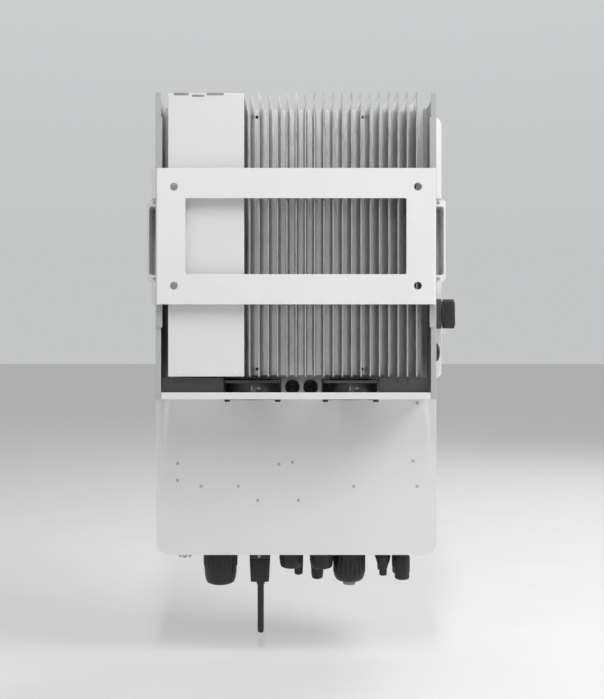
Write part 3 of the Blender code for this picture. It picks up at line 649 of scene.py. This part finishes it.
def make_grommets():
    for side in ("left", "right"):
        node = f"grommet_{side}"
        grommet = Span(node)
        foot = case.high.y
        rows = [
            (6.8, -5), (6.8, 0.2), (10.2, 0.3), (10.9, 1), (10.7, 1.9), (9.4, 2.6), (7.4, 2.9), (6.2, 2.7),
            (5.6, 2.1), (4.9, 2.5), (4.2, 3.3), (3.4, 3.4), (2.5, 3.1), (2.3, 1), (2.2, -4.5),
        ]
        turned(
            f"cable_grommet_{side}", rows, MATERIALS["seal_rubber"],
            (grommet.mid.x, foot, grommet.mid.z), "+Y", replaces=(node,),
        )


# Connectors on the bottom plate


def make_gland(name, centre, sizes, flutes, plug_material, replaces):
    """A cable gland: lock nut inside, then seal, hex flange, dome nut and blanking plug below the plate.

    Heights are below the plate. sizes holds the radius, the thread's radius, the dome nut's top, the end
    of its straight side and its end, its mouth's radius, and the plug's radius and end.
    """
    radius, thread, top, straight, end, mouth, plug, plug_end = sizes
    black = MATERIALS["black_nylon"]
    core = radius * 0.76
    lock = thread + 2.6
    base = [
        (thread - 2, 10.5), (thread - 0.6, 11), (thread, 10.4), (thread, 8), (lock, 7.6, hexagon),
        (lock, 2.8, hexagon), (thread, 2.4), (thread, -0.3), (radius * 0.93, -0.3), (radius * 0.95, -1.5),
        (radius * 0.9, -1.7), (radius * 0.97, -2, hexagon), (radius, -2.6, hexagon),
        (radius, -top + 0.9, hexagon), (radius * 0.97, -top + 0.5, hexagon), (core, -top + 0.3),
        (core, -straight + 2), (mouth - 1.6, -straight), (mouth - 1.6, -end + 2.5),
    ]
    turned(f"{name}_flange", base, black, centre, "+Z", replaces=replaces)

    ribbed = fluted(flutes, 0.05)
    outer = [
        (radius * 0.95, -top), (radius * 0.985, -top - 0.5), (radius, -top - 1.2, ribbed),
        (radius, -straight + 1, ribbed), (radius * 0.985, -straight), (radius * 0.955, -straight - 0.4),
    ]
    outer += dome(radius * 0.955, -straight - 0.6, mouth + 0.8, -end + 0.4)
    inner = [
        (mouth, -end), (mouth - 0.8, -end + 0.5), (mouth - 1.2, -end + 3), (core + 0.4, -straight + 1),
        (core + 0.4, -top),
    ]
    turned(f"{name}_nut", outer + inner, black, centre, "+Z", 6 * flutes, closed=True)

    rows = [
        (plug, -end + 2.4), (plug, -plug_end + 0.8), (plug - 0.8, -plug_end), (plug * 0.55, -plug_end),
        (plug * 0.5, -plug_end + 1), (plug * 0.1, -plug_end + 1.2),
    ]
    turned(f"{name}_plug", rows, plug_material, centre, "+Z")


# Where each dome nut's straight side ends, as a share of its length; its mouth's and its plug's radius as
# shares of its radius; and how many flutes it has
GLAND_SHAPES = {
    "grid": (0.42, 0.70, 0.64, 20),
    "load": (0.5, 0.74, 0.65, 16),
    "generator": (0.54, 0.74, 0.65, 16),
    "battery": (0.71, 0.58, 0.385, 20),
}
# radius, thread radius and mouth radius
SIGNAL_SHAPES = {"left": (10.4, 7.8, 6.9), "right": (7.5, 5.8, 5.2)}


def make_glands():
    foot = case.low.z
    for use, (share, mouth, plug, flutes) in GLAND_SHAPES.items():
        nut, body = Span(f"gland_{use}_nut"), Span(f"gland_{use}_body")
        radius = nut.size.x / 2
        top, end = foot - nut.high.z, foot - nut.low.z
        straight = top + share * (end - top)
        sizes = (
            radius, radius * 0.69, top, straight, end, radius * mouth, radius * plug, foot - body.low.z,
        )
        plug_material = PLUG_GREY if use == "battery" else MATERIALS["black_nylon"]
        nodes = (f"gland_{use}_body", f"gland_{use}_nut")
        make_gland(f"{use}_gland", (nut.mid.x, nut.mid.y, foot), sizes, flutes, plug_material, nodes)
    for side, (radius, thread, mouth) in SIGNAL_SHAPES.items():
        node = f"signal_gland_{side}"
        gland = Span(node)
        end = foot - gland.low.z - 1
        sizes = (radius, thread, 7, 0.72 * end, end, mouth, mouth - 1.6, end + 1)
        centre = (gland.mid.x, gland.mid.y, foot)
        make_gland(f"{side}_signal_gland", centre, sizes, 14, MATERIALS["black_nylon"], (node,))


def make_pv_connectors():
    """Panel sockets for the string leads.

    Odd ones have a tapered sealing cap and even ones a straight cap.
    """
    ribbed = fluted(18, 0.06)
    thread, flange = 9, 13.2
    for number in range(1, 5):
        node = f"pv_connector_{number}"
        socket = Span(node)
        length = case.low.z - socket.low.z
        rows = [
            (thread - 2, 11.5), (thread, 11), (thread, 7.4), (12, 7, hexagon), (12, 2.8, hexagon),
            (thread, 2.4), (thread, -0.3), (12.4, -0.3), (12.6, -1.5), (11.8, -1.7), (12.6, -2, hexagon),
            (flange, -2.6, hexagon), (flange, -10.6, hexagon), (12.6, -11.2, hexagon), (10.4, -11.6),
            (10.4, -13.4),
        ]
        if number % 2:
            ends = (
                (11, -13.8), (11.9, -14.6, ribbed), (10.3, -22, ribbed), (8.2, -27), (6.7, -32.6),
                (6.1, -33.4), (5.9, -length + 1.6), (5.2, -length), (3.6, -length), (3.2, -length + 3),
                (0.8, -length + 3.2),
            )
        else:
            rows += [
                (11.6, -13.8), (12.2, -14.6, ribbed), (12.2, -length + 12, ribbed), (11.8, -length + 11.4),
                (11.6, -length + 11), (11.6, -length + 5),
            ]
            rows += dome(11.6, -length + 4.6, 8.6, -length, 4)
            ends = ((5.6, -length), (5.2, -length + 1.6), (1, -length + 1.8))
        rows += ends
        bm = bmesh.new()
        lathe(bm, rows, 108)
        place = Matrix.Translation(metres(socket.mid.x, socket.mid.y, case.low.z))
        add_piece(f"string_socket_{number}", bm, MATERIALS["black_nylon"], place, replaces=(node,))


def make_logger():
    """The plug-in data logger: screwed collar, two-part tapered case, status lights and rod aerial."""
    body, rod = Span("logger_body"), Span("logger_aerial")
    foot = case.low.z
    black = MATERIALS["black_nylon"]
    centre = (body.mid.x, body.mid.y, foot)
    collar = [
        (11, 9.6), (11.8, 9), (11.8, -0.3), (15.2, -0.3), (15.6, -0.9, fluted(24, 0.05)),
        (15.6, -6.2, fluted(24, 0.05)), (15, -6.9),
    ]
    turned("logger_collar", collar, black, centre, "+Z", 120, replaces=("logger_body",))
    top, seam, end = foot - 7, foot - 17, body.low.z
    case_bm = bmesh.new()
    half = body.size.x / 2
    depth = 12.8
    for high, low in ((top, seam + 0.25), (seam - 0.25, end)):
        points = block(
            case_bm, (body.mid.x - half, body.mid.y - depth, low),
            (body.mid.x + half, body.mid.y + depth, high), 4.5, 4, "Z",
        )
        for vert in points:
            narrowing = 1 - 0.13 * (top - vert.co.z) / (top - end)
            vert.co.x = body.mid.x + (vert.co.x - body.mid.x) * narrowing
    bevelled = [e for e in case_bm.edges if len(e.link_faces) == 2 and e.calc_face_angle() > 1.2]
    bmesh.ops.bevel(case_bm, geom=bevelled, offset=0.7, segments=2, profile=0.5, affect="EDGES")
    add_piece("logger_case", case_bm, black)

    tab = bmesh.new()
    at = (body.mid.x + 1, body.mid.y + depth - 0.2, seam + 5)
    lathe(tab, [(2.6, 0), (2.6, 0.5), (2.2, 0.7)], 24, at, TURN["+Y"].to_3x3())
    add_piece("logger_tab", tab, PLUG_GREY)
    lights = bmesh.new()
    for offset in (-7, 0, 7):
        at = (body.mid.x + offset, body.mid.y - depth + 0.2, seam - 8)
        lathe(lights, [(1.5, 0), (1.5, 0.5), (1.1, 0.8)], 20, at, TURN["-Y"].to_3x3())
    add_piece("logger_lights", lights, MATERIALS["light_lens"])

    length = rod.size.z
    knurled = fluted(16, 0.08)
    rows = [
        (5.6, 0), (6.4, -0.5, knurled), (6.4, -4.6, knurled), (5.6, -5.4), (5.1, -6.4), (5.0, -7.6),
        (4.9, -length + 6), (4.5, -length + 5.7), (4.5, -length + 4.9), (4.8, -length + 4.6),
    ]
    rows += dome(4.7, -length + 3, 1, -length, 5)
    turned("aerial", rows, black, (rod.mid.x, rod.mid.y, rod.high.z), "+Z", 64, replaces=("logger_aerial",))


# Switch, button and display


def make_switch():
    """The isolator's dial and grip, drawn with +X up the casing and +Z outwards, and the base's screws."""
    node = "dc_switch_knob"
    base, shaft = Span("dc_switch_base"), Span(node)
    face, foot = base.low.x, 2
    outer = face - shaft.low.x
    centre = (face, shaft.mid.y, shaft.mid.z)
    bm = bmesh.new()
    rim = fluted(36, 0.03)
    dial = [
        (4, 34), (4, -0.3), (16.2, -0.4), (17, -0.9), (17.1, -1.2, rim), (17.1, -2.4, rim), (16.4, -3),
        (15, -3.4),
    ]
    lathe(bm, [(radius, -height, *shape) for radius, height, *shape in dial], 144)
    sections = []
    length, steps, around = shaft.size.z / 2 - 0.2, 20, 32
    for number in range(steps + 1):
        along = -cos(pi * number / steps)
        end = (1 - abs(along) ** 12) ** 0.5
        waist = 5.1 + 0.9 * along * along
        top = outer - 0.15 - 0.4 * (1 + along)
        half_width, half_height = waist * max(end, 0.5), (top - foot) / 2 * max(end, 0.88)
        loop = []
        for step in range(around):
            angle = 2 * pi * step / around
            sideways, upwards = cos(angle), sin(angle)
            loop.append((
                along * length,
                half_width * abs(sideways) ** 0.35 * (1 if sideways > 0 else -1),
                (top + foot) / 2 + half_height * abs(upwards) ** 0.35 * (1 if upwards > 0 else -1),
            ))
        sections.append(loop)
    loft(bm, sections)
    place = Matrix.Translation(metres(*centre)) @ TURN["-X"]
    add_piece("isolator_knob", bm, MATERIALS["knob_black"], place, node, (node,))
    pointer = bmesh.new()
    block(pointer, (9, -0.7, outer - 1.2), (18, 0.7, outer - 0.55), 0.1, 1)
    add_piece("knob_pointer", pointer, MARK_WHITE, place, node)

    columns, rows = (base.low.y + 4, base.high.y - 4), (base.low.z + 4.4, base.high.z - 4.4)
    places = [(face, y, z) for y in columns for z in rows]
    screws("switch_base_screws", places, "-X", *SWITCH_BASE_SCREW)
    ticks = bmesh.new()
    for y, z, half_y, half_z in (
        (shaft.mid.y, base.high.z - 2.2, 0.7, 1.4), (base.low.y + 1.5, shaft.mid.z, 0.6, 0.7),
    ):
        block(ticks, (face - 0.25, y - half_y, z - half_z), (face + 0.2, y + half_y, z + half_z), 0.1, 1)
    add_piece("switch_marks", ticks, MARK_WHITE)


def make_power_button():
    bezel, button = Span("power_button_bezel"), Span("power_button")
    face = -case.high.x
    centre = (face, bezel.mid.y, bezel.mid.z)
    outer = face - bezel.low.x
    ring = [
        (9.9, -8.6), (9.9, outer - 1.2), (10.4, outer - 0.3), (11.2, outer), (12.4, outer - 0.4),
        (13.1, outer - 1.4), (13.4, outer - 2.2, fluted(30, 0.03)), (13.4, 0.6, fluted(30, 0.03)), (13, 0),
        (10.6, 0), (10.6, -8.6),
    ]
    turned(
        "button_bezel", ring, MATERIALS["black_nylon"], centre, "-X", 120, True,
        replaces=("power_button_bezel",),
    )
    proud = face - button.low.x
    cap = [
        (9.1, -11), (9.1, proud - 1.4), (8.8, proud - 0.5), (8, proud), (6.6, proud), (6.2, proud - 0.3),
        (5.6, proud - 0.5), (5.2, proud - 0.25), (4.6, proud - 0.5), (0.5, proud - 0.7),
    ]
    turned(
        "button_cap", cap, MATERIALS["knob_black"], centre, "-X", body="power_button",
        replaces=("power_button",),
    )


def make_display_details():
    """The display's glass, the status lights, and the key caps with a plain arrow each."""
    front = fascia.low.y
    middle = fascia.mid.z
    glass = bmesh.new()
    block(glass, (-58, front - 0.25, middle - 28), (58, front + 0.3, middle + 28), 1.5, 3, "Y")
    add_piece("display_glass", glass, MATERIALS["display_black"])
    lamps = bmesh.new()
    for step in range(3):
        at = (73, front + 0.1, middle + 19 * (step - 1))
        lathe(lamps, [(1.8, -0.2), (1.8, 0.4), (1.3, 0.7)], 20, at, TURN["-Y"].to_3x3())
    add_piece("status_lamps", lamps, MATERIALS["light_lens"])

    # The way that each key's arrow points, and the way across it
    arrows = {
        "key_esc": ((-1, 0, 0), (0, 0, 1)),
        "key_up": ((0, 0, 1), (1, 0, 0)),
        "key_down": ((0, 0, -1), (-1, 0, 0)),
        "key_enter": ((1, 0, 0), (0, 0, -1)),
    }
    for node, (along, across) in arrows.items():
        key = Span(node)
        centre = (key.mid.x, front, key.mid.z)
        proud = front - key.low.y
        rows = [
            (3, -7.6), (3, -3.8), (6.9, -3.7), (6.9, -2.4), (5.5, -2.2), (5.5, proud - 0.8),
            (5.2, proud - 0.2), (4.4, proud), (3.8, proud - 0.1), (0.5, proud - 0.3),
        ]
        turned(f"{node}_cap", rows, MATERIALS["key_rubber"], centre, "-Y", body=node, replaces=(node,))
        mark = bmesh.new()
        arrow(mark, (key.mid.x, key.low.y + 0.25, key.mid.z), across, along, 4.4, 0.12)
        add_piece(f"{node}_mark", mark, MARK_WHITE, body=node)


# Camera, light and floor


def make_stage():
    """The floor, the studio's light from all round, and its lamps."""
    bm = bmesh.new()
    bmesh.ops.create_grid(bm, x_segments=1, y_segments=1, size=30)
    mesh = bpy.data.meshes.new("floor")
    bm.to_mesh(mesh)
    bm.free()
    floor = bpy.data.objects.new("floor", mesh)
    floor.location.z = cad_box[0].z - FLOOR_DROP
    mesh.materials.append(finish("floor_paint", (0.75, 0.75, 0.74), 0.75, tint=0.01, grain=900))
    bpy.context.scene.collection.objects.link(floor)

    world = bpy.data.worlds.new("studio")
    world.use_nodes = True
    tree = world.node_tree
    background = tree.nodes["Background"]
    background.inputs["Color"].default_value = (0.98, 0.99, 1.0, 1)
    way = tree.nodes.new("ShaderNodeTexCoord")
    split = tree.nodes.new("ShaderNodeSeparateXYZ")
    tree.links.new(way.outputs["Generated"], split.inputs["Vector"])
    upwards = directed(tree, split.outputs["Z"], (0.1, 0.9), (WALL_LIGHT, ROOF_LIGHT))
    behind = directed(tree, split.outputs["Y"], (0.2, -0.7), (0, BACKDROP_LIGHT - WALL_LIGHT))
    total = tree.nodes.new("ShaderNodeMath")
    total.operation = "ADD"
    tree.links.new(upwards, total.inputs[0])
    tree.links.new(behind, total.inputs[1])
    tree.links.new(total.outputs["Value"], background.inputs["Strength"])
    bpy.context.scene.world = world

    for name, (place, width, height, power) in LAMPS.items():
        add_light(name, place, width, height, power)
    bpy.context.scene.view_settings.view_transform = "Standard"


def directed(tree, share, span, light):
    """The studio's light as its direction's share runs over span."""
    step = tree.nodes.new("ShaderNodeMapRange")
    for name, value in zip(("From Min", "From Max", "To Min", "To Max"), (*span, *light)):
        step.inputs[name].default_value = value
    tree.links.new(share, step.inputs["Value"])
    return step.outputs["Result"]


def add_light(name, place, width, height, power):
    """A soft rectangular light at place that faces the inverter."""
    lamp = bpy.data.lights.new(name, "AREA")
    lamp.shape = "RECTANGLE"
    lamp.size = width
    lamp.size_y = height
    lamp.energy = power
    light = bpy.data.objects.new(name, lamp)
    aim = Vector(LAMP_AIM) - Vector(place)
    light.matrix_world = Matrix.Translation(place) @ aim.to_track_quat("-Z", "Y").to_matrix().to_4x4()
    bpy.context.scene.collection.objects.link(light)


def make_camera():
    """A level camera behind the inverter, which looks along -Y."""
    lens = bpy.data.cameras.new("camera")
    lens.lens = CAMERA_LENS
    camera = bpy.data.objects.new("camera", lens)
    camera.location = CAMERA_PLACE
    camera.rotation_euler = (radians(90), 0, radians(180))
    bpy.context.scene.collection.objects.link(camera)
    bpy.context.scene.camera = camera


make_camera()
make_stage()
paint_cad_nodes()
soften_cad_nodes()
make_casing_details()
make_earth_terminal()
make_side_details()
make_coil_box_details()
make_sink_screws()
for fan_side in ("left", "right"):
    make_rotor(fan_side)
    make_fan_details(fan_side)
make_grommets()
make_glands()
make_pv_connectors()
make_logger()
make_switch()
make_power_button()
make_display_details()

bpy.context.view_layer.update()
